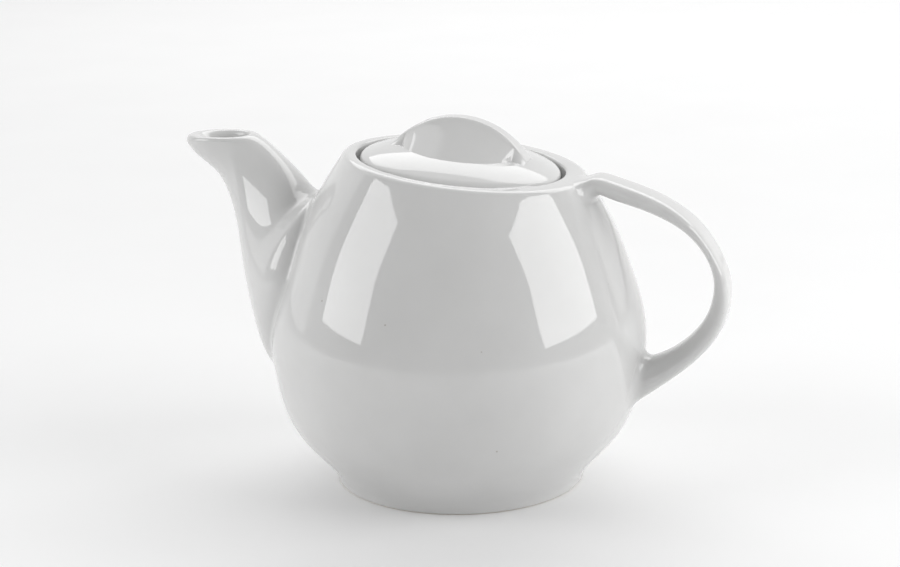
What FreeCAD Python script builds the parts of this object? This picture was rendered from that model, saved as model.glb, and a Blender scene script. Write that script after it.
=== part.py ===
import FreeCAD, Part
import math
import os

import Sketcher

# White porcelain teapot, in millimetres.
# Origin: centre of the foot, on the surface that the pot stands on. +Z up, +X towards the handle,
# -X towards the spout. The XZ plane is the plane of symmetry.
# The mouth is cut on a slant, so the lid and its seat are laid out in a frame of their own: its
# origin is the centre of the mouth, and its Z axis is the axis along which the lid drops in.

doc = FreeCAD.newDocument("Teapot")

# ---------------------------------------------------------------- driving dimensions

DIMENSIONS = {
    # belly: control points of the outer profile, radius and height, from foot to mouth
    "belly_radius_0": 42.9, "belly_height_0": 0.0,
    "belly_radius_1": 43.5, "belly_height_1": 5.7,
    "belly_radius_2": 59.6, "belly_height_2": 17.6,
    "belly_radius_3": 63.9, "belly_height_3": 40.2,
    "belly_radius_4": 65.8, "belly_height_4": 55.8,
    "belly_radius_5": 58.5, "belly_height_5": 77.4,
    "belly_radius_6": 50.7, "belly_height_6": 97.6,
    "belly_radius_7": 33.7, "belly_height_7": 121.0,
    "wall": 4.0,
    "floor_height": 6.5,
    "foot_inner_radius": 38.0,
    "foot_recess": 2.6,
    "foot_round": 0.9,
    # mouth and the seat of the lid
    "mouth_offset": 1.7,
    "mouth_height": 111.3,
    "mouth_slant": 6.35,
    "mouth_radius": 35.5,
    "seat_depth": 4.8,
    "seat_shelf": 3.8,
    "throat_radius": 30.6,
    "lip_round": 3.0,
    "lip_inner_round": 0.9,
    "cut_over": 20.0,
    "cut_under": 2.0,
    "block_side": 300.0,
    "block_height": 60.0,
    "lug_notch_width": 13.0,
    # strainer that closes the port behind the spout
    "port_radius": 15.0,
    "port_height": 67.0,
    "port_tilt": 16.0,
    "port_reach": 46.0,
    "port_length": 24.0,
    "strainer_thickness": 3.0,
    "strainer_depth": 12.7,
    "strainer_hole": 3.8,
    "strainer_ring_1": 5.6,
    "strainer_ring_2": 11.0,
    # lid
    "lid_radius": 34.2,
    "lid_drop": 0.6,
    "lid_edge": 3.9,
    "lid_plate": 4.0,
    "lid_band": 1.6,
    "lid_chamfer": 0.4,
    "lid_shoulder_inset": 2.4,
    "lid_shoulder_height": 1.0,
    "lid_slope_height": 3.1,
    "lid_under_taper": 2.5,
    "crown_radius": 20.3,
    "crown_height": 4.1,
    "knob_rise": 11.25,
    "knob_base": 1.2,
    "knob_skirt": 1.6,
    "crest_radius": 29.4,
    "fin_reach": 23.4,
    "fin_half_width": 3.5,
    "crest_edge": 1.0,
    "crest_round": 1.6,
    "fin_foot": 0.4,
    "fin_bite": 1.5,
    "scoop_inset": 0.15,
    "flange_radius": 29.8,
    "flange_wall": 3.0,
    "flange_depth": 10.0,
    "lug_width": 10.0,
    "lug_reach": 3.0,
    "lug_thickness": 2.6,
    "lug_clearance": 0.8,
}

# Spout stations from the root inside the wall to the pouring lip. Each is a section across the
# spout: centre x and z, tilt of the section about Y, half length, half width, and the same two
# for the bore, with the bore's shift towards the pot.
SPOUT_STATIONS = [
    (-46.3, 61.8, -75.5, 34.6, 29.5, 30.0, 25.0, 0.0),
    (-55.2, 68.4, -71.1, 31.7, 32.2, 27.6, 27.8, 0.0),
    (-59.7, 76.1, -63.7, 25.2, 29.4, 21.4, 25.4, 0.2),
    (-63.7, 83.2, -51.2, 18.4, 22.8, 14.8, 19.0, 0.3),
    (-66.9, 92.3, -37.4, 14.4, 16.0, 10.9, 12.4, 0.4),
    (-70.5, 100.8, -27.2, 12.3, 11.6, 8.7, 8.0, 0.3),
    (-76.0, 108.4, -17.4, 11.6, 9.1, 7.6, 5.6, 0.4),
    (-82.7, 113.8, -9.9, 12.7, 9.0, 7.6, 5.2, 1.5),
    (-86.1, 117.4, -1.0, 12.8, 10.1, 7.5, 6.0, 3.3),
]

# Handle stations from the upper root round to the lower root: centre x and z, tilt of the
# outward direction about Y, half thickness and half width.
HANDLE_STATIONS = [
    (42.7, 103.2, -106.3, 2.5, 6.8),
    (48.6, 105.4, -92.1, 3.0, 6.8),
    (54.4, 104.1, -77.2, 3.2, 6.9),
    (62.2, 101.7, -71.9, 3.1, 7.0),
    (71.7, 98.0, -60.8, 2.8, 7.0),
    (80.7, 92.2, -45.0, 2.2, 6.9),
    (87.4, 84.0, -32.2, 1.9, 6.7),
    (90.9, 74.7, -8.7, 2.4, 6.6),
    (91.0, 68.4, 8.3, 2.9, 6.5),
    (89.1, 61.2, 27.8, 3.3, 6.5),
    (83.7, 53.1, 40.1, 3.6, 6.6),
    (76.3, 46.5, 47.9, 4.1, 6.8),
    (69.0, 42.0, 54.6, 5.1, 7.2),
    (62.1, 38.4, 56.9, 6.3, 7.8),
    (55.2, 34.8, 58.2, 7.2, 8.4),
]


def make_sheet(values):
    """The spreadsheet of driving dimensions: one named cell to a row."""
    sheet = doc.addObject("Spreadsheet::Sheet", "dims")
    for row, (name, value) in enumerate(values.items(), start=1):
        sheet.set("A%d" % row, name)
        sheet.set("B%d" % row, str(value))
        sheet.setAlias("B%d" % row, name)
    doc.recompute()
    return sheet


def station_cells(prefix, names, stations):
    """Cells for a row of stations, such as spout_3_width."""
    cells = {}
    for index, station in enumerate(stations):
        for name, value in zip(names, station):
            cells["%s_%d_%s" % (prefix, index, name)] = value
    return cells


DIMENSIONS.update(station_cells(
    "spout", ("x", "z", "tilt", "half_length", "half_width", "bore_length", "bore_width",
              "bore_shift"), SPOUT_STATIONS))
DIMENSIONS.update(station_cells(
    "handle", ("x", "z", "tilt", "half_thickness", "half_width"), HANDLE_STATIONS))
sheet = make_sheet(DIMENSIONS)


def cell(name):
    return float(sheet.get(name))


# ---------------------------------------------------------------- helpers

def new_body(name):
    return doc.addObject("PartDesign::Body", name)


def origin_plane(body, role):
    return [item for item in body.Origin.OriginFeatures if item.Role == role][0]


def new_sketch(body, name, role="XZ_Plane"):
    sketch = body.newObject("Sketcher::SketchObject", name)
    sketch.AttachmentSupport = [(origin_plane(body, role), "")]
    sketch.MapMode = "FlatFace"
    return sketch


def size(term):
    """The value of a term: a cell's name, a factor and, if given, the cell to take off."""
    name, factor, *less = term
    return cell(name) * factor - sum(cell(other) for other in less)


def formula(term):
    """The same term as an expression on the spreadsheet."""
    name, factor, *less = term
    return "dims.%s * %s" % (name, factor) + "".join(" - dims.%s" % other for other in less)


def pin(sketch, geometry, point, x, y):
    """Ties a point of the sketch to two terms, as its x and y."""
    for kind, term in (("DistanceX", x), ("DistanceY", y)):
        index = sketch.addConstraint(Sketcher.Constraint(kind, -1, 1, geometry, point, size(term)))
        sketch.setExpression("Constraints[%d]" % index, formula(term))


def pinned_spline(sketch, poles, closed=False):
    """A cubic B-spline whose poles are pairs of terms, each pole tied to its cells."""
    points = [FreeCAD.Vector(size(x), size(y), 0) for x, y in poles]
    curve = Part.BSplineCurve()
    curve.buildFromPoles(points, closed, 3)
    geometry = sketch.addGeometry(curve, False)
    sketch.exposeInternalGeometry(geometry)
    for index, (x, y) in enumerate(poles):
        pin(sketch, geometry + 1 + index, 3, x, y)
    return geometry


def line_loop(sketch, corners):
    """Straight edges from corner to corner; returns their indices."""
    lines = []
    for start, end in zip(corners, corners[1:]):
        line = Part.LineSegment(FreeCAD.Vector(*start, 0), FreeCAD.Vector(*end, 0))
        lines.append(sketch.addGeometry(line, False))
    return lines


def revolve(body, sketch, name):
    revolution = body.newObject("PartDesign::Revolution", name)
    revolution.Profile = sketch
    revolution.ReferenceAxis = (sketch, ["V_Axis"])
    revolution.Angle = 360.0
    return revolution


def mouth_placement(depth=0.0):
    """The lid's frame, moved down its own axis by depth."""
    tilt = FreeCAD.Rotation(FreeCAD.Vector(0, 1, 0), cell("mouth_slant"))
    centre = FreeCAD.Vector(cell("mouth_offset"), 0, cell("mouth_height"))
    return FreeCAD.Placement(centre + tilt.multVec(FreeCAD.Vector(0, 0, -depth)), tilt)


# Unit outlines of the sections, as (along, across) control points for half a turn; the other
# half is their mirror image. A closed cubic B-spline lies a little inside its control points.
SPOUT_OUTLINE = [(-1.10, 0.0), (-0.80, 0.78), (0.04, 1.09), (0.86, 0.84), (1.07, 0.0)]
BORE_OUTLINE = [(-1.11, 0.0), (-0.78, 0.78), (0.0, 1.11), (0.78, 0.78), (1.11, 0.0)]
STRAP_OUTLINE = [(-1.02, 0.0), (-0.95, 0.70), (0.0, 1.10), (1.04, 0.96), (0.98, 0.0)]


def cut(name, base, tool):
    feature = doc.addObject("Part::Cut", name)
    feature.Base = base
    feature.Tool = tool
    doc.recompute()
    return feature


def cylinder(name, radius, height, placement):
    feature = doc.addObject("Part::Cylinder", name)
    feature.setExpression("Radius", radius)
    feature.setExpression("Height", height)
    feature.Placement = placement
    return feature


def round_edges(name, base, wanted):
    """Rounds the edges that wanted(edge) gives a radius for."""
    feature = doc.addObject("Part::Fillet", name)
    feature.Base = base
    edges = []
    for index, edge in enumerate(base.Shape.Edges, start=1):
        radius = wanted(edge)
        if radius:
            edges.append((index, radius, radius))
    feature.Edges = edges
    doc.recompute()
    return feature


def mouth_block(name, depth):
    """A block that holds everything above the mouth plane moved down by depth."""
    block = doc.addObject("Part::Box", name)
    block.setExpression("Length", "dims.block_side")
    block.setExpression("Width", "dims.block_side")
    block.setExpression("Height", "dims.block_height")
    half = cell("block_side") / 2
    corner = FreeCAD.Placement(FreeCAD.Vector(-half, -half, 0), FreeCAD.Rotation())
    block.Placement = mouth_placement(depth).multiply(corner)
    return block


# ---------------------------------------------------------------- pot

BELLY = [(("belly_radius_%d" % index, 1.0), ("belly_height_%d" % index, 1.0)) for index in range(8)]
HOLLOW = [
    (("foot_inner_radius", 0.0), ("floor_height", 1.0)),
    (("foot_inner_radius", 0.92), ("floor_height", 1.0)),
    (("belly_radius_2", 0.90), ("belly_height_2", 0.70)),
    (("belly_radius_3", 1.0, "wall"), ("belly_height_3", 0.86)),
    (("belly_radius_4", 1.0, "wall"), ("belly_height_4", 1.0)),
    (("belly_radius_5", 1.0, "wall"), ("belly_height_5", 1.0)),
    (("belly_radius_6", 1.0, "wall"), ("belly_height_6", 1.0)),
    (("belly_radius_7", 1.0, "wall"), ("belly_height_7", 1.0)),
]


def close_to_axis(sketch, curve, poles):
    """Closes a profile from both ends of its curve straight to the axis."""
    low = (size(poles[0][0]), size(poles[0][1]))
    high = (size(poles[-1][0]), size(poles[-1][1]))
    corners = [high, (0.0, high[1]), (0.0, low[1])]
    if low[0] > 0:
        corners.append(low)
    lines = line_loop(sketch, corners)
    sketch.addConstraint(Sketcher.Constraint("Coincident", curve, 2, lines[0], 1))
    for line, after in zip(lines, lines[1:]):
        sketch.addConstraint(Sketcher.Constraint("Coincident", line, 2, after, 1))
    sketch.addConstraint(Sketcher.Constraint("Coincident", lines[-1], 2, curve, 1))
    sketch.addConstraint(Sketcher.Constraint("Horizontal", lines[0]))
    sketch.addConstraint(Sketcher.Constraint("PointOnObject", lines[0], 2, -2))


def turned(name, poles):
    """A solid turned about Z from a profile of control points."""
    body = new_body(name)
    sketch = new_sketch(body, name + "_profile")
    curve = pinned_spline(sketch, poles)
    close_to_axis(sketch, curve, poles)
    revolve(body, sketch, name + "_turned")
    return body


def make_belly():
    """The outside of the pot as a solid, cut on the slant and rounded at its lip and foot."""
    uncut = turned("belly", BELLY)
    slanted = cut("belly_slanted", uncut, mouth_block("above_mouth", 0.0))
    mouth = mouth_placement()
    normal = mouth.Rotation.multVec(FreeCAD.Vector(0, 0, 1))

    def wanted(edge):
        heights = [abs((vertex.Point - mouth.Base).dot(normal)) for vertex in edge.Vertexes]
        if edge.Length > 100 and max(heights) < 0.01:
            return cell("lip_round")
        if edge.Length > 100 and edge.BoundBox.ZMax < 0.01:
            return cell("foot_round")
        return 0

    return round_edges("belly_rounded", slanted, wanted)


def make_hollow():
    """The room inside the pot, up to the underside of the shelf that carries the lid."""
    room = turned("hollow", HOLLOW)
    depth = cell("seat_depth") + cell("seat_shelf")
    return cut("hollow_under_shelf", room, mouth_block("above_shelf", depth))


def port_placement(depth=0.0):
    """The frame of the spout's port, moved out along its own axis by depth."""
    tilt = FreeCAD.Rotation(FreeCAD.Vector(0, 1, 0), cell("port_tilt") - 90.0)
    start = FreeCAD.Vector(-cell("port_reach"), 0, cell("port_height"))
    return FreeCAD.Placement(start + tilt.multVec(FreeCAD.Vector(0, 0, depth)), tilt)


def make_lug_notch(depth):
    """The notch in the shelf, on the spout's side, that lets the lid's lug down past it."""
    notch = doc.addObject("Part::Box", "lug_notch_tool")
    notch.setExpression("Length", "dims.flange_radius + dims.lug_reach + 1")
    notch.setExpression("Width", "dims.lug_notch_width")
    notch.setExpression("Height", "dims.seat_depth + dims.seat_shelf + dims.cut_under")
    reach = cell("flange_radius") + cell("lug_reach") + 1.0
    corner = FreeCAD.Vector(-reach, -cell("lug_notch_width") / 2, 0)
    notch.Placement = mouth_placement(depth).multiply(FreeCAD.Placement(corner, FreeCAD.Rotation()))
    return notch


def make_pot_body(belly):
    """The pot: belly less its room, the seat of the lid, the foot's recess and the port."""
    depth = cell("seat_depth") + cell("seat_shelf") + cell("cut_under")
    tools = [
        cylinder("foot_recess_tool", "dims.foot_inner_radius", "dims.foot_recess", FreeCAD.Placement()),
        cylinder("seat_tool", "dims.mouth_radius", "dims.seat_depth + dims.cut_over",
                 mouth_placement(cell("seat_depth"))),
        cylinder("throat_tool", "dims.throat_radius", "dims.seat_shelf + dims.cut_over",
                 mouth_placement(depth)),
        cylinder("port_tool", "dims.port_radius", "dims.port_length", port_placement()),
        make_lug_notch(depth),
    ]
    doc.recompute()
    shape = cut("pot_hollowed", belly, make_hollow())
    for tool in tools:
        shape = cut("pot_less_" + tool.Name, shape, tool)
    mouth = mouth_placement()
    normal = mouth.Rotation.multVec(FreeCAD.Vector(0, 0, 1))
    around = 2 * math.pi * cell("mouth_radius")

    def wanted(edge):
        heights = [abs((vertex.Point - mouth.Base).dot(normal)) for vertex in edge.Vertexes]
        inner_lip = max(heights) < 0.01 and abs(edge.Length - around) < 0.1
        return cell("lip_inner_round") if inner_lip else 0

    return round_edges("pot_lip_rounded", shape, wanted)


def make_strainer():
    """A pierced disc luted into the port, so that no leaves reach the spout."""
    body = new_body("strainer")
    disc = new_sketch(body, "strainer_disc", "XY_Plane")
    circle = Part.Circle(FreeCAD.Vector(0, 0, 0), FreeCAD.Vector(0, 0, 1), cell("port_radius"))
    rim = disc.addGeometry(circle, False)
    disc.addConstraint(Sketcher.Constraint("Coincident", rim, 3, -1, 1))
    index = disc.addConstraint(Sketcher.Constraint("Radius", rim, cell("port_radius")))
    disc.setExpression("Constraints[%d]" % index, "dims.port_radius")
    plate = body.newObject("PartDesign::Pad", "strainer_plate")
    plate.Profile = disc
    plate.setExpression("Length", "dims.strainer_thickness")
    holes = new_sketch(body, "strainer_holes", "XY_Plane")
    rings = [(0.0, 1), (cell("strainer_ring_1"), 6), (cell("strainer_ring_2"), 12)]
    for radius, count in rings:
        for step in range(count):
            angle = 2 * math.pi * step / count
            centre = FreeCAD.Vector(radius * math.cos(angle), radius * math.sin(angle), 0)
            hole = Part.Circle(centre, FreeCAD.Vector(0, 0, 1), cell("strainer_hole") / 2)
            holes.addGeometry(hole, False)
    doc.recompute()
    pierced = body.newObject("PartDesign::Pocket", "strainer_pierced")
    pierced.Profile = holes
    pierced.Type = 1
    pierced.Midplane = True
    body.Placement = port_placement(cell("strainer_depth"))
    return body


# ---------------------------------------------------------------- spout and handle

def station_poles(outline, station, length_suffix, width_suffix, shift_suffix=None):
    """Control points of one closed section, in the pot's frame."""
    centre = FreeCAD.Vector(cell(station + "_x"), 0, cell(station + "_z"))
    turn = FreeCAD.Rotation(FreeCAD.Vector(0, 1, 0), cell(station + "_tilt"))
    length = cell(station + length_suffix)
    width = cell(station + width_suffix)
    shift = cell(station + shift_suffix) if shift_suffix else 0.0
    mirrored = [(along, -across) for along, across in reversed(outline[1:-1])]
    return [centre + turn.multVec(FreeCAD.Vector(along * length + shift, across * width, 0))
            for along, across in outline + mirrored]


def skinned(name, outline, stations, *suffixes):
    """A solid whose side is one smooth surface through the sections, with a flat cap at each end."""
    net = [station_poles(outline, station, *suffixes) for station in stations]
    around = len(net[0])
    centres = [sum(row, FreeCAD.Vector()) * (1.0 / around) for row in net]
    reached = [0.0]
    for before, after in zip(centres, centres[1:]):
        reached.append(reached[-1] + before.distanceToPoint(after))
    columns = []
    for index in range(around):
        rail = Part.BSplineCurve()
        rail.interpolate(Points=[row[index] for row in net], Parameters=reached)
        columns.append(rail.getPoles())
    side = Part.BSplineSurface()
    side.buildFromPolesMultsKnots(columns, [1] * (around + 1), rail.getMultiplicities(),
                                  list(range(around + 1)), rail.getKnots(), True, False, 3, 3)
    skin = side.toShape()
    caps = [Part.Face(Part.Wire(side.vIso(end).toShape())) for end in (reached[0], reached[-1])]
    shell = Part.makeShell([skin] + caps)
    shell.sewShape()
    solid = Part.makeSolid(shell)
    if solid.Volume < 0:
        solid.reverse()
    feature = doc.addObject("Part::Feature", name)
    feature.Shape = solid
    return feature


def make_spout(belly):
    """A tall root on the belly that draws in to a round neck and turns over into a lip."""
    stations = ["spout_%d" % index for index in range(len(SPOUT_STATIONS))]
    horn = skinned("horn", SPOUT_OUTLINE, stations, "_half_length", "_half_width")
    bore = skinned("bore", BORE_OUTLINE, stations, "_bore_length", "_bore_width", "_bore_shift")
    return cut("spout_on_belly", cut("horn_bored", horn, bore), belly)


def make_handle(belly):
    """A flattened strap that leaves the shoulder level with the lip and loops down to the belly."""
    stations = ["handle_%d" % index for index in range(len(HANDLE_STATIONS))]
    strap = skinned("strap", STRAP_OUTLINE, stations, "_half_thickness", "_half_width")
    return cut("handle_on_belly", strap, belly)


# ---------------------------------------------------------------- lid

def make_lid_cover():
    """The shallow dome that drops into the seat, with a round recess on top for the knob."""
    body = new_body("lid_dome")
    sketch = new_sketch(body, "lid_profile")
    radius = cell("lid_radius")
    crown = cell("crown_radius")
    crest = cell("crown_height")
    seam = cell("knob_base")
    shoulder = -cell("lid_drop")
    band = shoulder - cell("lid_band")
    bottom = shoulder - cell("lid_edge")
    chamfer = cell("lid_chamfer")
    inner = cell("flange_radius") - cell("flange_wall")
    under = seam - cell("lid_plate")
    dome_points = [(crown, crest), (0.6 * crown + 0.4 * radius, cell("lid_slope_height")),
                   (radius - cell("lid_shoulder_inset"), cell("lid_shoulder_height")),
                   (radius, shoulder / 2), (radius, band)]
    dome = Part.BSplineCurve()
    dome.buildFromPoles([FreeCAD.Vector(*point, 0) for point in dome_points], False, 3)
    sketch.addGeometry(dome, False)
    line_loop(sketch, [(radius, band), (radius, bottom + chamfer), (radius - chamfer, bottom),
                       (inner, bottom), (inner - cell("lid_under_taper"), under), (0, under),
                       (0, seam), (crown, seam), (crown, crest)])
    revolve(body, sketch, "lid_turned")
    body.Placement = mouth_placement()
    return body


def crest_height(along):
    """Height of the fin's crest over the mouth: an arc of a circle along the lid."""
    radius = cell("crest_radius")
    return cell("crown_height") + cell("knob_rise") - radius + math.sqrt(radius ** 2 - along ** 2)


# Half of a section across the fin, from the foot of its scooped flank to its side: how far each
# control point lies between the side and the foot, and how far up the fin.
FLANK = [(1.0, 0.0), (0.62, 0.26), (0.30, 0.53), (0.08, 0.79), (0.0, 0.93)]
# Sections along the fin, as shares of its reach.
FIN_STATIONS = [0.0, 0.18, 0.36, 0.53, 0.68, 0.79, 0.85, 0.91, 0.96, 1.0]


def fin_section(along):
    """One section across the fin: crest, hollow flanks, and a straight skirt down into the lid."""
    crest = crest_height(along)
    level = min(cell("crown_height"), crest - cell("fin_bite"))
    thin = cell("fin_half_width")
    edge = math.sqrt(max(0.0, cell("crown_radius") ** 2 - along ** 2)) - cell("scoop_inset")
    foot = max(edge, thin + cell("fin_foot"))
    side = [(thin + out * (foot - thin), level + up * (crest - level)) for out, up in FLANK]
    side += [(thin - inset, crest) for inset in (cell("crest_edge"), cell("crest_round"))]
    mirror = [(-across, height) for across, height in reversed(side)]
    points = [FreeCAD.Vector(along, across, height) for across, height in side + [(0.0, crest)] + mirror]
    top = Part.BSplineCurve()
    top.buildFromPoles(points, False, 3)
    low_right = FreeCAD.Vector(along, foot, cell("knob_skirt"))
    low_left = FreeCAD.Vector(along, -foot, cell("knob_skirt"))
    edges = [top.toShape(), Part.makeLine(points[-1], low_left), Part.makeLine(low_left, low_right),
             Part.makeLine(low_right, points[0])]
    return Part.Wire(edges)


def make_lid_knob(cover):
    """The finger grip: an arched fin along the pot between two scooped flanks, on a round base."""
    ahead = [cell("fin_reach") * station for station in FIN_STATIONS]
    along = [-reach for reach in reversed(ahead[1:])] + ahead
    fin = Part.makeLoft([fin_section(reach) for reach in along], True, False)
    dome = cover.Shape.copy()
    dome.Placement = FreeCAD.Placement()
    base_centre = FreeCAD.Vector(0, 0, cell("knob_base"))
    thickness = cell("crown_height") - cell("knob_base")
    disc = Part.makeCylinder(cell("crown_radius"), thickness, base_centre, FreeCAD.Vector(0, 0, 1))
    knob = doc.addObject("Part::Feature", "knob")
    knob.Shape = fin.cut(dome).fuse(disc).removeSplitter()
    knob.Placement = mouth_placement()
    return knob


def make_lid_flange():
    """The collar under the lid that centres it in the throat."""
    body = new_body("flange")
    sketch = new_sketch(body, "flange_rings", "XY_Plane")
    sketch.AttachmentOffset = FreeCAD.Placement(
        FreeCAD.Vector(0, 0, -(cell("lid_drop") + cell("lid_edge"))), FreeCAD.Rotation())
    for expression in ("dims.flange_radius", "dims.flange_radius - dims.flange_wall"):
        circle = Part.Circle(FreeCAD.Vector(0, 0, 0), FreeCAD.Vector(0, 0, 1), cell("flange_radius"))
        ring = sketch.addGeometry(circle)
        sketch.addConstraint(Sketcher.Constraint("Coincident", ring, 3, -1, 1))
        index = sketch.addConstraint(Sketcher.Constraint("Radius", ring, cell("flange_radius")))
        sketch.setExpression("Constraints[%d]" % index, expression)
    doc.recompute()
    pad = body.newObject("PartDesign::Pad", "flange_wall_pad")
    pad.Profile = sketch
    pad.setExpression("Length", "dims.flange_depth")
    pad.Reversed = True
    body.Placement = mouth_placement()
    return body


def make_lid_lug():
    """The lug on the collar that catches under the shelf when the lid is turned."""
    block = doc.addObject("Part::Box", "lug_block")
    block.setExpression("Length", "dims.lug_reach + 3")
    block.setExpression("Width", "dims.lug_width")
    block.setExpression("Height", "dims.lug_thickness")
    depth = cell("seat_depth") + cell("seat_shelf") + cell("lug_clearance") + cell("lug_thickness")
    reach = cell("flange_radius") + cell("lug_reach")
    corner = FreeCAD.Vector(-reach, -cell("lug_width") / 2, 0)
    block.Placement = mouth_placement(depth).multiply(FreeCAD.Placement(corner, FreeCAD.Rotation()))
    core = cylinder("lug_core", "dims.flange_radius", "dims.cut_over",
                    mouth_placement(depth + cell("cut_under")))
    doc.recompute()
    return cut("lug", block, core)


# ---------------------------------------------------------------- assembly and export

belly = make_belly()
lid_cover = make_lid_cover()
doc.recompute()
SUB_PARTS = {
    "pot_body": make_pot_body(belly),
    "spout_strainer": make_strainer(),
    "spout": make_spout(belly),
    "handle": make_handle(belly),
    "lid_cover": lid_cover,
    "lid_knob": make_lid_knob(lid_cover),
    "lid_flange": make_lid_flange(),
    "lid_lug": make_lid_lug(),
}
doc.recompute()

for item in doc.Objects:
    if "Invalid" in item.State or "Error" in item.State:
        raise RuntimeError("%s failed: %s" % (item.Name, item.State))

os.makedirs("parts", exist_ok=True)
for node, item in SUB_PARTS.items():
    item.Label = node
    shape = item.Shape
    if shape.isNull() or not shape.isValid() or not shape.Solids:
        raise RuntimeError(node + " has no valid solid")
    shape.exportStep("parts/" + node + ".step")
    box = shape.BoundBox
    print("%-15s %8.1f mm3  x %6.1f %6.1f  y %6.1f %6.1f  z %6.1f %6.1f" % (
        node, shape.Volume, box.XMin, box.XMax, box.YMin, box.YMax, box.ZMin, box.ZMax))
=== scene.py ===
import math

import bmesh
import bpy
import numpy as np
from mathutils import Matrix, Vector
from mathutils.bvhtree import BVHTree


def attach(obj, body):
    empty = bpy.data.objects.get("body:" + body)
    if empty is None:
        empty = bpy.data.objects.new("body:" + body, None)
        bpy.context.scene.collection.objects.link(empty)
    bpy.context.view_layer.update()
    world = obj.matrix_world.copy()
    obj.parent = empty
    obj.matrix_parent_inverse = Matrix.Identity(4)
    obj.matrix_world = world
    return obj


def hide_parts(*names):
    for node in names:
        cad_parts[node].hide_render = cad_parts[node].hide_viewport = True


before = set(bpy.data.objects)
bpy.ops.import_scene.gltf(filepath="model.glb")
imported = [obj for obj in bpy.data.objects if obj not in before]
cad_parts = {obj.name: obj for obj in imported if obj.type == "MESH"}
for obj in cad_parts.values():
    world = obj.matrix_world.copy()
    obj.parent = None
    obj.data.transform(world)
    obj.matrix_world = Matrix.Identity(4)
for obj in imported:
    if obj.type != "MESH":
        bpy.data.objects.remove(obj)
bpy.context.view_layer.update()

# White porcelain teapot. Lengths in this script are millimetres until make_mesh turns them into
# metres. +X is towards the handle, -X towards the spout, and XZ is the plane of symmetry.

METRE = 0.001

# ---------------------------------------------------------------- design sizes

BELLY_POLES = [(42.9, 0.0), (43.5, 5.7), (59.6, 17.6), (63.9, 40.2), (65.8, 55.8), (58.5, 77.4),
               (50.7, 97.6), (33.7, 121.0)]
ROOM_POLES = [(0.0, 6.5), (35.0, 6.5), (53.6, 12.3), (59.9, 34.6), (61.8, 55.8), (54.5, 77.4),
              (46.7, 97.6), (29.7, 121.0)]
FOOT_INNER_RADIUS = 38.0
FOOT_RECESS = 2.6
MOUTH_CENTRE = (1.7, 0.0, 111.3)
MOUTH_SLANT = math.radians(6.35)
MOUTH_RADIUS = 35.5
SEAT_DEPTH = 4.8
SHELF_DEPTH = 8.6
THROAT_RADIUS = 30.6
LIP_ROUND = 3.0
PORT_RADIUS = 15.0
PORT_HEIGHT = 67.0
PORT_TILT = math.radians(16.0)
NOTCH_HALF_WIDTH = 6.5
NOTCH_HEIGHTS = (-10.6, -4.2)
LID_RADIUS = 34.2
LID_TOP = -0.6
LID_BAND = -2.2
LID_BOTTOM = -4.5
LID_UNDER = -2.8
CROWN_RADIUS = 20.3
CROWN_HEIGHT = 4.1
KNOB_SEAM = 1.2
KNOB_RISE = 11.25
CREST_RADIUS = 29.4
FIN_REACH = 23.4
FIN_HALF_WIDTH = 3.5
FIN_HEM = 3.6
LEAST_FIN = 0.3
CREST_INSETS = (1.0, 1.6)
KNOB_SKIRT = 1.6
FLANGE_RADIUS = 29.8
FLANGE_INNER = 26.8
FLANGE_END = -14.5
LUG_REACH = 3.0
LUG_HALF_WIDTH = 5.0
LUG_TOP = -9.4
LUG_BOTTOM = -12.0

# Spout sections: centre x and z, tilt about Y in degrees, half length and half width, then the
# half length, half width and backward shift of the bore.
SPOUT_STATIONS = [
    (-46.3, 61.8, -75.5, 34.6, 29.5, 30.0, 25.0, 0.0),
    (-55.2, 68.4, -71.1, 31.7, 32.2, 27.6, 27.8, 0.0),
    (-59.7, 76.1, -63.7, 25.2, 29.4, 21.4, 25.4, 0.2),
    (-63.7, 83.2, -51.2, 18.4, 22.8, 14.8, 19.0, 0.3),
    (-66.9, 92.3, -37.4, 14.4, 16.0, 10.9, 12.4, 0.4),
    (-70.5, 100.8, -27.2, 12.3, 11.6, 8.7, 8.0, 0.3),
    (-76.0, 108.4, -17.4, 11.6, 9.1, 7.6, 5.6, 0.4),
    (-82.7, 113.8, -9.9, 12.7, 9.0, 7.6, 5.2, 1.5),
    (-86.1, 117.4, -1.0, 12.8, 10.1, 7.5, 6.0, 3.3),
]
# Handle sections from the upper root to the lower: centre x and z, tilt, half thickness and
# half width.
HANDLE_STATIONS = [
    (42.7, 103.2, -106.3, 2.5, 6.8),
    (48.6, 105.4, -92.1, 3.0, 6.8),
    (54.4, 104.1, -77.2, 3.2, 6.9),
    (62.2, 101.7, -71.9, 3.1, 7.0),
    (71.7, 98.0, -60.8, 2.8, 7.0),
    (80.7, 92.2, -45.0, 2.2, 6.9),
    (87.4, 84.0, -32.2, 1.9, 6.7),
    (90.9, 74.7, -8.7, 2.4, 6.6),
    (91.0, 68.4, 8.3, 2.9, 6.5),
    (89.1, 61.2, 27.8, 3.3, 6.5),
    (83.7, 53.1, 40.1, 3.6, 6.6),
    (76.3, 46.5, 47.9, 4.1, 6.8),
    (69.0, 42.0, 54.6, 5.1, 7.2),
    (62.1, 38.4, 56.9, 6.3, 7.8),
    (55.2, 34.8, 58.2, 7.2, 8.4),
]
# Unit outlines of the sections: control points (along, across) of the half with across >= 0.
SPOUT_OUTLINE = [(-1.10, 0.0), (-0.80, 0.78), (0.04, 1.09), (0.86, 0.84), (1.07, 0.0)]
BORE_OUTLINE = [(-1.11, 0.0), (-0.78, 0.78), (0.0, 1.11), (0.78, 0.78), (1.11, 0.0)]
STRAP_OUTLINE = [(-1.02, 0.0), (-0.95, 0.70), (0.0, 1.10), (1.04, 0.96), (0.98, 0.0)]

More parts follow.
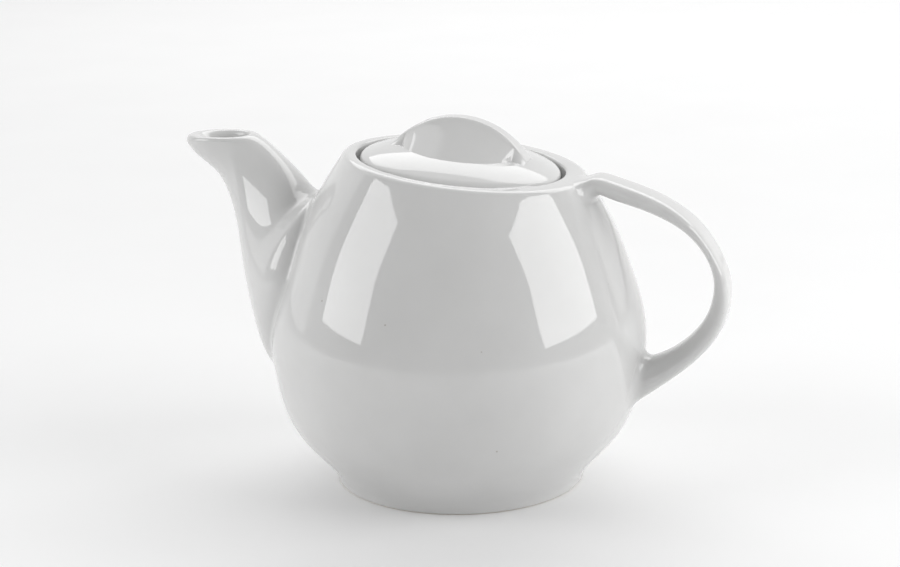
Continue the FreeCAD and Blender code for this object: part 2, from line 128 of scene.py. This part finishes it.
# Fillets where the spout and the handle stand on the belly: how far each spreads from its corner.
SPOUT_ROOT_SPREAD = 1.7
HANDLE_ROOT_SPREAD = 4.2
HEM_WIDTH = 0.8
HEM_DEPTH = 0.9
HEM_LIFT = 0.012
# Rounding of the pouring lip at its sides, and how much more there is at its beak.
LIP_OUTER = (1.7, 1.6)
LIP_INNER = (1.5, 2.6)
LIP_DROP = (1.8, 1.8)
LIP_BORE_DROP = (1.6, 1.6)

POT_COLUMNS = 288
SPOUT_COLUMNS = 120
STRAP_COLUMNS = 56


# ---------------------------------------------------------------- curves and rings

def spline_weights(knots, places):
    """Weights of a cubic B-spline's control points at each place along it."""
    rows = [((low <= places) & (places < high)).astype(float)
            for low, high in zip(knots, knots[1:])]
    for degree in (1, 2, 3):
        raised = []
        for index in range(len(rows) - 1):
            weight = np.zeros(len(places))
            rise = knots[index + degree] - knots[index]
            fall = knots[index + degree + 1] - knots[index + 1]
            if rise > 0:
                weight += (places - knots[index]) / rise * rows[index]
            if fall > 0:
                weight += (knots[index + degree + 1] - places) / fall * rows[index + 1]
            raised.append(weight)
        rows = raised
    return np.array(rows).T


def open_curve(poles, count):
    """Points along a cubic B-spline that starts and ends on its outer control points."""
    spans = len(poles) - 3
    knots = [0] * 3 + list(range(spans + 1)) + [spans] * 3
    places = np.linspace(0, spans - 1e-9, count)
    return spline_weights(knots, places) @ np.array(poles, float)


def closed_weights(poles, count):
    """Weights that turn a ring of control points into count points of a closed cubic B-spline."""
    knots = list(range(-3, poles + 4))
    weights = spline_weights(knots, np.arange(count) * poles / count)
    folded = weights[:, :poles].copy()
    folded[:, :3] += weights[:, poles:]
    return folded


def spline_through(values, reached, places):
    """A natural cubic spline through the values, each reached at its own place."""
    steps = np.diff(reached)
    count = len(reached)
    system = np.eye(count)
    wanted = np.zeros(values.shape)
    for index in range(1, count - 1):
        before, after = steps[index - 1], steps[index]
        system[index, index - 1:index + 2] = before, 2 * (before + after), after
        wanted[index] = 6 * ((values[index + 1] - values[index]) / after
                             - (values[index] - values[index - 1]) / before)
    bend = np.linalg.solve(system, wanted.reshape(count, -1)).reshape(values.shape)
    span = np.clip(np.searchsorted(reached, places) - 1, 0, count - 2)
    shape = (-1,) + (1,) * (values.ndim - 1)
    step = steps[span].reshape(shape)
    low = (reached[span + 1] - places).reshape(shape) / step
    high = (places - reached[span]).reshape(shape) / step
    return (low * values[span] + high * values[span + 1]
            + ((low ** 3 - low) * bend[span] + (high ** 3 - high) * bend[span + 1]) * step ** 2 / 6)


def unit(vectors):
    """The vectors, each scaled to a length of one."""
    return vectors / np.linalg.norm(vectors, axis=-1, keepdims=True)


def arc(start, corner, end, count):
    """Rings that turn from start to end round the corner, as a conic tangent to both legs."""
    half = (1 + (unit(start - corner) * unit(end - corner)).sum(-1, keepdims=True)) / 2
    pull = np.sqrt(np.clip(1 - half, 0, 1))
    rings = []
    for place in np.linspace(0, 1, count):
        a, b, c = (1 - place) ** 2, 2 * place * (1 - place) * pull, place ** 2
        rings.append((a * start + b * corner + c * end) / (a + b + c))
    return rings


def rounded(rings, radii, count=7):
    """The rings in order, with each ring that has a radius turned into a rounding."""
    out = []
    for index, (ring, radius) in enumerate(zip(rings, radii)):
        if not radius:
            out.append(ring)
            continue
        back = unit(rings[index - 1] - ring)
        ahead = unit(rings[index + 1] - ring)
        half = np.arccos(np.clip((back * ahead).sum(-1, keepdims=True), -1, 1)) / 2
        reach = radius / np.tan(half)
        out += arc(ring + back * reach, ring, ring + ahead * reach, count)
    return out


AROUND = np.arange(POT_COLUMNS) * 2 * math.pi / POT_COLUMNS
COS, SIN = np.cos(AROUND), np.sin(AROUND)
LID_ALONG = np.array([math.cos(MOUTH_SLANT), 0, -math.sin(MOUTH_SLANT)])
LID_ACROSS = np.array([0.0, 1.0, 0.0])
LID_UP = np.array([math.sin(MOUTH_SLANT), 0, math.cos(MOUTH_SLANT)])


def level_ring(radius, height):
    """A ring round the pot's own axis; radius and height may differ from column to column."""
    return np.stack([radius * COS, radius * SIN, height + 0 * COS], -1)


def lid_ring(radius, height):
    """A ring round the lid's slanted axis, at a height over the mouth."""
    return lid_points(radius * COS, radius * SIN, height)


def lid_points(along, across, height):
    """Points in the lid's frame, as points in the pot's."""
    along, across, height = (np.asarray(value, float)[..., None]
                             for value in (along, across, height))
    return np.array(MOUTH_CENTRE) + along * LID_ALONG + across * LID_ACROSS + height * LID_UP


# ---------------------------------------------------------------- meshes

def make_mesh(name, rings, body, nodes, ends="fan", crease=35):
    """A closed piece from rings of points, with a fan at each end or joined end to end."""
    rings = np.array(rings) * METRE
    count, columns = rings.shape[:2]
    vertices = [tuple(point) for point in rings.reshape(-1, 3)]
    faces = []
    for row in range(count if ends == "joined" else count - 1):
        low, high = row * columns, (row + 1) % count * columns
        for column in range(columns):
            after = (column + 1) % columns
            faces.append((low + column, low + after, high + after, high + column))
    if ends == "fan":
        for row in (0, count - 1):
            centre = len(vertices)
            vertices.append(tuple(rings[row].mean(0)))
            for column in range(columns):
                after = (column + 1) % columns
                faces.append((row * columns + column, row * columns + after, centre))
    mesh = bpy.data.meshes.new(name)
    mesh.from_pydata(vertices, [], faces)
    piece = bpy.data.objects.new(name, mesh)
    bpy.context.scene.collection.objects.link(piece)
    settle(piece, body, nodes, crease)
    return piece


def settle(piece, body, nodes, crease):
    """Welds and orients the piece's mesh, shades it, and ties it to its body and nodes."""
    clean = bmesh.new()
    clean.from_mesh(piece.data)
    bmesh.ops.remove_doubles(clean, verts=clean.verts, dist=2e-6)
    bmesh.ops.recalc_face_normals(clean, faces=clean.faces)
    clean.to_mesh(piece.data)
    clean.free()
    piece.data.shade_smooth()
    piece.data.set_sharp_from_angle(angle=math.radians(crease))
    if body:
        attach(piece, body)
        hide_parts(*nodes)


def carve(piece, cutter, crease=35):
    """Takes the cutter's volume out of the piece."""
    modifier = piece.modifiers.new("carve", "BOOLEAN")
    modifier.operation = "DIFFERENCE"
    modifier.solver = "EXACT"
    modifier.object = cutter
    depsgraph = bpy.context.evaluated_depsgraph_get()
    carved = bpy.data.meshes.new_from_object(piece.evaluated_get(depsgraph))
    piece.modifiers.clear()
    piece.data = carved
    bpy.data.objects.remove(cutter)
    piece.data.shade_smooth()
    piece.data.set_sharp_from_angle(angle=math.radians(crease))


def cutter_from(rings):
    """A closed solid from the rings, for carve to take away."""
    return make_mesh("cutter", rings, None, ())


# ---------------------------------------------------------------- pot

def plane_heights(profile, depth):
    """Heights at which a turned profile meets the plane that lies depth under the mouth."""
    radius, height = profile[:, 0], profile[:, 1]
    drop = height - MOUTH_CENTRE[2] + depth / math.cos(MOUTH_SLANT)
    slope = math.tan(MOUTH_SLANT)
    return np.array([np.interp(0.0, drop + (radius * cosine - MOUTH_CENTRE[0]) * slope, height)
                     for cosine in COS])


def profile_rings(profile, starts, ends, count):
    """Rings along a turned profile, from one height to another in every column."""
    lengths = np.concatenate([[0], np.cumsum(np.hypot(*np.diff(profile, axis=0).T))])
    low = np.interp(starts, profile[:, 1], lengths)
    high = np.interp(ends, profile[:, 1], lengths)
    rings = []
    for place in np.linspace(0, 1, count):
        reached = low + (high - low) * place
        rings.append(level_ring(np.interp(reached, lengths, profile[:, 0]),
                                np.interp(reached, lengths, profile[:, 1])))
    return rings


def envelope_rings():
    """The outside of the pot, from the middle of its foot to the edge of its mouth."""
    belly = open_curve(BELLY_POLES, 3000)
    top = plane_heights(belly, 0.0)
    corner = level_ring(np.interp(top, belly[:, 1], belly[:, 0]), top)
    side = profile_rings(belly, np.full(POT_COLUMNS, 1.8), top - 0.9 * LIP_ROUND, 112)
    rings = [level_ring(12.0, FOOT_RECESS), level_ring(26.0, FOOT_RECESS),
             level_ring(FOOT_INNER_RADIUS, FOOT_RECESS), level_ring(FOOT_INNER_RADIUS, 0.0),
             level_ring(BELLY_POLES[0][0], 0.0)] + side + [corner, lid_ring(MOUTH_RADIUS, 0.0)]
    radii = [0, 0, 1.0, 0.7, 0.9] + [0] * len(side) + [LIP_ROUND, 0]
    return rounded(rings, radii)


def room_rings():
    """The inside of the pot, from the edge of its mouth down to the middle of its floor."""
    room = open_curve(ROOM_POLES, 3000)
    under = plane_heights(room, SHELF_DEPTH)
    corner = level_ring(np.interp(under, room[:, 1], room[:, 0]), under)
    side = profile_rings(room, under - 2.5, np.full(POT_COLUMNS, 6.75), 64)
    rings = [lid_ring(MOUTH_RADIUS + 2.0, 0.0), lid_ring(MOUTH_RADIUS, 0.0),
             lid_ring(MOUTH_RADIUS, -SEAT_DEPTH), lid_ring(THROAT_RADIUS, -SEAT_DEPTH),
             lid_ring(THROAT_RADIUS, -SHELF_DEPTH), corner] + side + [level_ring(14.0, 6.5)]
    radii = [0, 0.9, 0.6, 0.8, 0.8, 1.2] + [0] * len(side) + [0]
    return rounded(rings, radii)[1:]


def make_pot(envelope):
    """The pot as one closed wall, with the port to the spout and the notch for the lug cut out."""
    pot = make_mesh("pot_body_glazed", envelope[:-1] + room_rings(), "pot",
                    ["pot_body"])
    outward = np.array([-math.cos(PORT_TILT), 0.0, math.sin(PORT_TILT)])
    upward = np.array([math.sin(PORT_TILT), 0.0, math.cos(PORT_TILT)])
    turns = np.linspace(0, 2 * math.pi, 96, endpoint=False)[:, None]
    port_ring = PORT_RADIUS * (np.cos(turns) * LID_ACROSS + np.sin(turns) * upward)
    base = np.array([0.0, 0.0, PORT_HEIGHT])
    starts = [base + np.array([-46.0, 0, 0]), base + np.array([-46.0, 0, 0]) + 24.0 * outward]
    carve(pot, cutter_from([start + port_ring for start in starts]))
    notch = [(-1, -1), (1, -1), (1, 1), (-1, 1)]
    reach = FLANGE_RADIUS + LUG_REACH + 1.0
    across = np.array([NOTCH_HALF_WIDTH * side for _, side in notch])
    along = np.array([-reach if end < 0 else -20.0 for end, _ in notch])
    carve(pot, cutter_from([lid_points(along, across, height) for height in NOTCH_HEIGHTS]))
    return pot


# ---------------------------------------------------------------- spout and handle

def rails(outline, stations, columns, fields, count=900):
    """Points of a skin through the stations, as count rows of columns points."""
    mirrored = [(along, -across) for along, across in reversed(outline[1:-1])]
    poles = np.array(outline + mirrored)
    net = []
    for station in stations:
        x, z, tilt = station[0], station[1], math.radians(station[2])
        length, width = station[fields[0]], station[fields[1]]
        shift = station[fields[2]] if len(fields) > 2 else 0.0
        along = poles[:, 0] * length + shift
        net.append(np.stack([x + along * math.cos(tilt), poles[:, 1] * width,
                             z - along * math.sin(tilt)], -1))
    net = np.array(net)
    centres = net.mean(1)
    reached = np.concatenate([[0], np.cumsum(np.linalg.norm(np.diff(centres, axis=0), axis=1))])
    dense = spline_through(net, reached, np.linspace(0, reached[-1], count))
    return np.einsum("cp,vpk->vck", closed_weights(len(poles), columns), dense)


def lengths_along(skin):
    """Length along each column of the skin, from its first row."""
    steps = np.linalg.norm(np.diff(skin, axis=0), axis=2)
    return np.concatenate([np.zeros((1, skin.shape[1])), np.cumsum(steps, axis=0)])


def points_at(skin, lengths, wanted):
    """One point on each column, at the length wanted there."""
    ring = np.empty((skin.shape[1], 3))
    for column in range(skin.shape[1]):
        for axis in range(3):
            ring[column, axis] = np.interp(wanted[column], lengths[:, column],
                                           skin[:, column, axis])
    return ring


def touch(tree, points):
    """Nearest points on the surface in the tree, its normals there, and the signed distances."""
    places, normals, distances = [], [], []
    for point in points:
        place, normal, _, _ = tree.find_nearest(Vector(point))
        places.append(place)
        normals.append(normal)
        distances.append((Vector(point) - place).dot(normal))
    return np.array(places), np.array(normals), np.array(distances)


def crossing(tree, skin, lengths, depth):
    """Length at which each column reaches a depth under the surface in the tree."""
    rows = skin.shape[0]
    coarse = np.linspace(rows - 1, 0, 91).astype(int)
    found = np.zeros(skin.shape[1])
    above = touch(tree, skin[coarse].reshape(-1, 3))[2].reshape(len(coarse), -1) + depth
    for column in range(skin.shape[1]):
        step = int(np.argmax(above[:, column] < 0))
        outside, inside = lengths[coarse[step - 1], column], lengths[coarse[step], column]
        for _ in range(18):
            middle = (outside + inside) / 2
            point = [np.interp(middle, lengths[:, column], skin[:, column, axis])
                     for axis in range(3)]
            if touch(tree, [point])[2][0] + depth > 0:
                outside = middle
            else:
                inside = middle
        found[column] = (outside + inside) / 2
    return found


def root_rings(tree, skin, lengths, start, arm, count=9):
    """Rings of a root: tucked under the surface, spread on it, and turned up into the skin."""
    corner = points_at(skin, lengths, start)
    above = points_at(skin, lengths, start + arm)
    normals = touch(tree, corner)[1]
    outward = np.cross(np.roll(corner, -1, 0) - np.roll(corner, 1, 0), normals)
    for _ in range(3):
        outward = (np.roll(outward, -1, 0) + 2 * outward + np.roll(outward, 1, 0)) / 4
    outward = unit(outward)
    if ((corner - corner.mean(0)) * outward).sum() < 0:
        outward = -outward
    foot, _, _ = touch(tree, corner + outward * arm)
    hem, hem_normals, _ = touch(tree, corner + outward * (arm + HEM_WIDTH))
    tucked = hem - hem_normals * HEM_DEPTH
    turned = arc(foot + normals * HEM_LIFT, corner + normals * HEM_LIFT, above, count)
    return [tucked, hem + hem_normals * HEM_LIFT] + turned


def rows_between(skin, lengths, low, high, count):
    """Rings at even steps between two lengths along the skin."""
    return [points_at(skin, lengths, low + (high - low) * place)
            for place in np.linspace(0, 1, count)]


def make_spout(tree):
    """The spout: root, skin, rounded lip and bore, as one closed wall round an open bore."""
    skin = rails(SPOUT_OUTLINE, SPOUT_STATIONS, SPOUT_COLUMNS, (3, 4))
    bore = rails(BORE_OUTLINE, SPOUT_STATIONS, SPOUT_COLUMNS, (5, 6, 7))
    skin_lengths, bore_lengths = lengths_along(skin), lengths_along(bore)
    start = crossing(tree, skin, skin_lengths, 0.0)
    root = root_rings(tree, skin, skin_lengths, start, SPOUT_ROOT_SPREAD)
    bore_start = crossing(tree, bore, bore_lengths, 0.9)
    outer_edge, inner_edge = skin[-1], bore[-1]
    land = np.linalg.norm(inner_edge - outer_edge, axis=1)
    across = unit(inner_edge - outer_edge)
    front = np.clip(-unit(outer_edge - outer_edge.mean(0))[:, 0], 0, 1) ** 2
    outer_round = np.minimum(LIP_OUTER[0] + LIP_OUTER[1] * front, 0.48 * land)
    inner_round = np.minimum(LIP_INNER[0] + LIP_INNER[1] * front, 0.5 * land)
    side_end = skin_lengths[-1] - LIP_DROP[0] - LIP_DROP[1] * front
    bore_end = bore_lengths[-1] - LIP_BORE_DROP[0] - LIP_BORE_DROP[1] * front
    side = rows_between(skin, skin_lengths, start + SPOUT_ROOT_SPREAD, side_end, 76)[1:]
    lip = arc(side[-1], outer_edge, outer_edge + across * outer_round[:, None], 8)[1:]
    bore_top = points_at(bore, bore_lengths, bore_end)
    mouth = arc(inner_edge - across * inner_round[:, None], inner_edge, bore_top, 8)
    throat = rows_between(bore, bore_lengths, bore_end, bore_start, 50)[1:]
    return make_mesh("spout_glazed", root + side + lip + mouth + throat, "pot",
                     ["spout"], ends="joined")


def make_handle(tree):
    """The handle: a strap with both roots turned out on to the pot."""
    skin = rails(STRAP_OUTLINE, HANDLE_STATIONS, STRAP_COLUMNS, (3, 4))
    half = skin.shape[0] // 2
    roots, ends = [], []
    for part in (skin[:half + 1], skin[half:][::-1]):
        lengths = lengths_along(part)
        start = crossing(tree, part, lengths, 0.0)
        roots.append(root_rings(tree, part, lengths, start, HANDLE_ROOT_SPREAD))
        ends.append(rows_between(part, lengths, start + HANDLE_ROOT_SPREAD, lengths[-1], 64)[1:])
    rings = roots[0] + ends[0] + ends[1][::-1][1:] + roots[1][::-1]
    return make_mesh("handle_glazed", rings, "pot", ["handle"])


# ---------------------------------------------------------------- lid

DOME = open_curve([(CROWN_RADIUS, CROWN_HEIGHT), (0.6 * CROWN_RADIUS + 0.4 * LID_RADIUS, 3.1),
                   (LID_RADIUS - 2.4, 1.0), (LID_RADIUS, LID_TOP / 2), (LID_RADIUS, LID_BAND)], 34)


def make_lid_cover():
    """The shallow dome, its edge and its underside."""
    dome = [lid_ring(radius, height) for radius, height in DOME]
    rings = ([lid_ring(8.0, KNOB_SEAM), lid_ring(CROWN_RADIUS, KNOB_SEAM)] + dome
             + [lid_ring(LID_RADIUS, LID_BOTTOM), lid_ring(FLANGE_INNER, LID_BOTTOM),
                lid_ring(FLANGE_INNER - 2.5, LID_UNDER), lid_ring(8.0, LID_UNDER)])
    radii = [0, 0] + [0] * len(dome) + [0.7, 0, 1.5, 0]
    return make_mesh("lid_cover_glazed", rounded(rings, radii), "lid",
                     ["lid_cover"])


# Half of a section across the fin, from the foot of its scooped flank to its side: how far each
# control point lies between the side and the foot, and how far up the fin.
FLANK = [(1.0, 0.0), (0.64, 0.31), (0.32, 0.59), (0.08, 0.82), (0.0, 0.93)]


def knob_section(along, count):
    """One section across the knob, from foot to foot over the crest of the fin."""
    crest = CROWN_HEIGHT + KNOB_RISE - CREST_RADIUS + math.sqrt(CREST_RADIUS ** 2 - along ** 2)
    edge = math.sqrt(max(0.0, CROWN_RADIUS ** 2 - along ** 2))
    foot = max(edge, FIN_HALF_WIDTH + FIN_HEM)
    dome_level = np.interp(math.hypot(along, foot), DOME[:20, 0], DOME[:20, 1])
    level = min(dome_level, crest - LEAST_FIN)
    side = [(FIN_HALF_WIDTH + out * (foot - FIN_HALF_WIDTH), level + up * (crest - level))
            for out, up in FLANK]
    side += [(FIN_HALF_WIDTH - inset, crest) for inset in CREST_INSETS]
    mirror = [(-across, height) for across, height in reversed(side)]
    return open_curve(side + [(0.0, crest)] + mirror, count)


def make_lid_knob():
    """The knob: an arched fin between two scooped flanks, with a skirt down into the lid."""
    turns = np.linspace(-math.pi / 2, math.pi / 2, 111)
    stations = np.concatenate([np.linspace(-FIN_REACH, -CROWN_RADIUS, 9)[:-1],
                               CROWN_RADIUS * np.sin(turns),
                               np.linspace(CROWN_RADIUS, FIN_REACH, 9)[1:]])
    rows = []
    for along in stations:
        section = knob_section(along, 81)
        skirt = np.array([(section[-1, 0], KNOB_SKIRT), (section[0, 0], KNOB_SKIRT)])
        loop = np.concatenate([section, skirt])
        rows.append(lid_points(along, loop[:, 0], loop[:, 1]))
    return make_mesh("lid_knob_glazed", rows, "lid", ["lid_knob"], crease=40)


def make_lid_flange():
    """The collar under the lid."""
    rings = [lid_ring(FLANGE_INNER, LID_BOTTOM + 0.3), lid_ring(FLANGE_RADIUS, LID_BOTTOM + 0.3),
             lid_ring(FLANGE_RADIUS, FLANGE_END), lid_ring(FLANGE_INNER, FLANGE_END)]
    rings.insert(2, lid_ring(FLANGE_RADIUS, LID_BOTTOM - 5.0))
    rings.append(lid_ring(FLANGE_INNER, LID_BOTTOM - 5.0))
    return make_mesh("lid_flange_glazed", rounded(rings, [0, 0, 0, 1.3, 1.3, 0]), "lid",
                     ["lid_flange"], ends="joined")


def make_lid_lug():
    """The lug on the collar: a curved block with softened edges."""
    half = math.asin(LUG_HALF_WIDTH / (FLANGE_RADIUS + LUG_REACH))
    turns = math.pi + np.linspace(-half, half, 15)
    inner, outer = FLANGE_RADIUS - 1.2, FLANGE_RADIUS + LUG_REACH
    corners = [(inner, LUG_TOP), (outer, LUG_TOP), (outer, LUG_BOTTOM), (inner, LUG_BOTTOM)]
    rings = [np.array([lid_points(radius * math.cos(turn), radius * math.sin(turn), height)
                       for radius, height in corners]) for turn in turns]
    lug = make_mesh("lid_lug_glazed", rings, None, ())
    soft = bmesh.new()
    soft.from_mesh(lug.data)
    sharp = [edge for edge in soft.edges if edge.calc_face_angle(0) > math.radians(50)]
    bmesh.ops.bevel(soft, geom=sharp, offset=0.6 * METRE, segments=4, profile=0.5, affect="EDGES")
    soft.to_mesh(lug.data)
    soft.free()
    settle(lug, "lid", ["lid_lug"], 50)
    return lug


# ---------------------------------------------------------------- materials

def node(tree, kind, **inputs):
    """A shader node with its unlinked inputs set by name."""
    made = tree.nodes.new(kind)
    for name, value in inputs.items():
        made.inputs[name.replace("_", " ")].default_value = value
    return made


def glaze(name, bare_foot):
    """Clear glaze over white porcelain: faint clouding, slow waves and a few specks."""
    material = bpy.data.materials.new(name)
    material.use_nodes = True
    tree = material.node_tree
    shader = tree.nodes["Principled BSDF"]
    shader.inputs["IOR"].default_value = 1.68
    place = tree.nodes.new("ShaderNodeTexCoord").outputs["Object"]

    clouds = node(tree, "ShaderNodeTexNoise", Scale=34.0, Detail=3.0)
    tree.links.new(place, clouds.inputs["Vector"])
    colour = tree.nodes.new("ShaderNodeValToRGB")
    colour.color_ramp.elements[0].position = 0.3
    colour.color_ramp.elements[0].color = (0.64, 0.64, 0.635, 1)
    colour.color_ramp.elements[1].position = 0.7
    colour.color_ramp.elements[1].color = (0.68, 0.68, 0.675, 1)
    tree.links.new(clouds.outputs["Fac"], colour.inputs["Fac"])

    specks = node(tree, "ShaderNodeTexVoronoi", Scale=85.0)
    tree.links.new(place, specks.inputs["Vector"])
    speck = tree.nodes.new("ShaderNodeMapRange")
    speck.inputs["From Min"].default_value = 0.020
    speck.inputs["From Max"].default_value = 0.034
    speck.inputs["To Min"].default_value = 0.55
    speck.inputs["To Max"].default_value = 0.0
    tree.links.new(specks.outputs["Distance"], speck.inputs["Value"])
    spotted = tree.nodes.new("ShaderNodeMix")
    spotted.data_type = "RGBA"
    spotted.inputs["B"].default_value = (0.30, 0.26, 0.22, 1)
    tree.links.new(speck.outputs["Result"], spotted.inputs["Factor"])
    tree.links.new(colour.outputs["Color"], spotted.inputs["A"])
    final_colour = spotted.outputs["Result"]

    fine = node(tree, "ShaderNodeTexNoise", Scale=420.0, Detail=2.0)
    tree.links.new(place, fine.inputs["Vector"])
    polish = tree.nodes.new("ShaderNodeMapRange")
    polish.inputs["To Min"].default_value = 0.03
    polish.inputs["To Max"].default_value = 0.07
    tree.links.new(fine.outputs["Fac"], polish.inputs["Value"])
    final_polish = polish.outputs["Result"]

    waves = node(tree, "ShaderNodeTexNoise", Scale=55.0, Detail=1.0, Roughness=0.4)
    tree.links.new(place, waves.inputs["Vector"])
    bump = tree.nodes.new("ShaderNodeBump")
    bump.inputs["Strength"].default_value = 0.10
    bump.inputs["Distance"].default_value = 0.0004
    tree.links.new(waves.outputs["Fac"], bump.inputs["Height"])
    tree.links.new(bump.outputs["Normal"], shader.inputs["Normal"])

    if bare_foot:
        parts = tree.nodes.new("ShaderNodeSeparateXYZ")
        tree.links.new(place, parts.inputs["Vector"])
        bare = tree.nodes.new("ShaderNodeMapRange")
        bare.inputs["From Min"].default_value = 0.0002
        bare.inputs["From Max"].default_value = 0.0006
        bare.inputs["To Min"].default_value = 1.0
        bare.inputs["To Max"].default_value = 0.0
        tree.links.new(parts.outputs["Z"], bare.inputs["Value"])
        biscuit = tree.nodes.new("ShaderNodeMix")
        biscuit.data_type = "RGBA"
        biscuit.inputs["B"].default_value = (0.70, 0.66, 0.60, 1)
        tree.links.new(bare.outputs["Result"], biscuit.inputs["Factor"])
        tree.links.new(final_colour, biscuit.inputs["A"])
        final_colour = biscuit.outputs["Result"]
        dull = tree.nodes.new("ShaderNodeMath")
        dull.operation = "MAXIMUM"
        tree.links.new(final_polish, dull.inputs[0])
        tree.links.new(bare.outputs["Result"], dull.inputs[1])
        final_polish = dull.outputs["Value"]

    tree.links.new(final_colour, shader.inputs["Base Color"])
    tree.links.new(final_polish, shader.inputs["Roughness"])
    return material


def floor_material():
    """A pale matt studio floor with a very faint mottle."""
    material = bpy.data.materials.new("studio_floor")
    material.use_nodes = True
    tree = material.node_tree
    shader = tree.nodes["Principled BSDF"]
    shader.inputs["Roughness"].default_value = 0.75
    shader.inputs["Specular IOR Level"].default_value = 0.2
    place = tree.nodes.new("ShaderNodeTexCoord").outputs["Object"]
    mottle = node(tree, "ShaderNodeTexNoise", Scale=12.0, Detail=4.0)
    tree.links.new(place, mottle.inputs["Vector"])
    colour = tree.nodes.new("ShaderNodeValToRGB")
    colour.color_ramp.elements[0].color = (0.90, 0.90, 0.90, 1)
    colour.color_ramp.elements[1].color = (0.93, 0.93, 0.93, 1)
    tree.links.new(mottle.outputs["Fac"], colour.inputs["Fac"])
    tree.links.new(colour.outputs["Color"], shader.inputs["Base Color"])
    return material


# ---------------------------------------------------------------- studio

# Rectangular lamps: name, position, target, width, height and radiance, in metres.
SOFTBOXES = [
    ("left_softbox", (-0.713, -0.413, 0.458), (-0.02, 0.04, 0.05), 0.54, 0.58, 2.9),
    ("right_softbox", (0.796, -0.032, 0.442), (0.0, 0.0, 0.05), 0.70, 0.58, 3.2),
    ("back_light", (0.0, 1.2, 1.05), (0.0, 1.1, 0.0), 2.2, 1.0, 1.5),
]
TOWARDS_ROOM = (0.358, -0.934, 0.0)
ROOM_EDGE = (-0.43, -0.33)
BACKDROP_STRENGTH = 1.0
ROOM_STRENGTH = 0.35
FLOOR_HALF = 4.0
CAMERA_AZIMUTH = math.radians(16.0)
CAMERA_ELEVATION = math.radians(15.44)
CAMERA_ROLL = math.radians(-0.93)
CAMERA_DISTANCE = 0.732
CAMERA_CENTRE = (0.0, 0.0, 0.060)
CAMERA_TARGET = (-0.00325, 0.00129, 0.06774)
CAMERA_LENS = 85.0
CAMERA_SENSOR = 36.0


def make_floor():
    """A wide level floor, which isn't part of the object."""
    half = FLOOR_HALF
    mesh = bpy.data.meshes.new("floor")
    corners = [(-half, -half, 0), (half, -half, 0), (half, half, 0), (-half, half, 0)]
    mesh.from_pydata(corners, [], [(0, 1, 2, 3)])
    floor = bpy.data.objects.new("floor", mesh)
    bpy.context.scene.collection.objects.link(floor)
    mesh.materials.append(floor_material())


def aimed(position, target, roll=0.0):
    """The matrix of something at position whose -Z axis points at target."""
    turn = (Vector(target) - Vector(position)).to_track_quat("-Z", "Y").to_matrix().to_4x4()
    return Matrix.Translation(position) @ turn @ Matrix.Rotation(roll, 4, "Z")


def softbox(name, position, target, width, height, radiance):
    """A rectangular light of an even radiance."""
    light = bpy.data.lights.new(name, "AREA")
    light.shape = "RECTANGLE"
    light.size = width
    light.size_y = height
    light.energy = radiance * width * height * math.pi
    holder = bpy.data.objects.new(name, light)
    holder.matrix_world = aimed(position, target)
    bpy.context.scene.collection.objects.link(holder)


def make_world():
    """A bright backdrop behind the pot and a dimmer room in front of it."""
    world = bpy.data.worlds.new("room")
    bpy.context.scene.world = world
    world.use_nodes = True
    tree = world.node_tree
    room = tree.nodes["Background"]
    room.inputs["Color"].default_value = (1, 1, 1, 1)
    direction = tree.nodes.new("ShaderNodeTexCoord").outputs["Generated"]
    forward = tree.nodes.new("ShaderNodeVectorMath")
    forward.operation = "DOT_PRODUCT"
    forward.inputs[1].default_value = TOWARDS_ROOM
    tree.links.new(direction, forward.inputs[0])
    shade = tree.nodes.new("ShaderNodeMapRange")
    shade.interpolation_type = "SMOOTHSTEP"
    shade.inputs["From Min"].default_value = ROOM_EDGE[0]
    shade.inputs["From Max"].default_value = ROOM_EDGE[1]
    shade.inputs["To Min"].default_value = BACKDROP_STRENGTH
    shade.inputs["To Max"].default_value = ROOM_STRENGTH
    tree.links.new(forward.outputs["Value"], shade.inputs["Value"])
    tree.links.new(shade.outputs["Result"], room.inputs["Strength"])


def make_camera():
    """A long lens at the height of someone seated at the table, a little to the handle's side."""
    back = Vector((math.sin(CAMERA_AZIMUTH) * math.cos(CAMERA_ELEVATION),
                   -math.cos(CAMERA_AZIMUTH) * math.cos(CAMERA_ELEVATION),
                   math.sin(CAMERA_ELEVATION)))
    position = Vector(CAMERA_CENTRE) + back * CAMERA_DISTANCE
    camera = bpy.data.cameras.new("camera")
    camera.sensor_width = CAMERA_SENSOR
    camera.lens = CAMERA_LENS
    camera.clip_start = 0.01
    holder = bpy.data.objects.new("camera", camera)
    holder.matrix_world = aimed(position, CAMERA_TARGET, CAMERA_ROLL)
    bpy.context.scene.collection.objects.link(holder)
    bpy.context.scene.camera = holder


make_camera()
make_world()
make_floor()
for lamp in SOFTBOXES:
    softbox(*lamp)

pot_glaze = glaze("pot_glaze", True)
lid_glaze = glaze("lid_glaze", False)
envelope = envelope_rings()
skin_of_pot = make_mesh("envelope", envelope, None, ())
tree = BVHTree.FromPolygons([vertex.co / METRE for vertex in skin_of_pot.data.vertices],
                            [tuple(face.vertices) for face in skin_of_pot.data.polygons])
bpy.data.objects.remove(skin_of_pot)
pieces = [make_pot(envelope), make_spout(tree), make_handle(tree), make_lid_cover(),
          make_lid_knob(), make_lid_flange(), make_lid_lug()]
for piece in pieces:
    lid_piece = piece.name.startswith("lid")
    piece.data.materials.clear()
    piece.data.materials.append(lid_glaze if lid_piece else pot_glaze)
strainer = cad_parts["spout_strainer"]
for material_slot in strainer.material_slots:
    material_slot.material = pot_glaze

bpy.context.scene.view_settings.view_transform = "Standard"
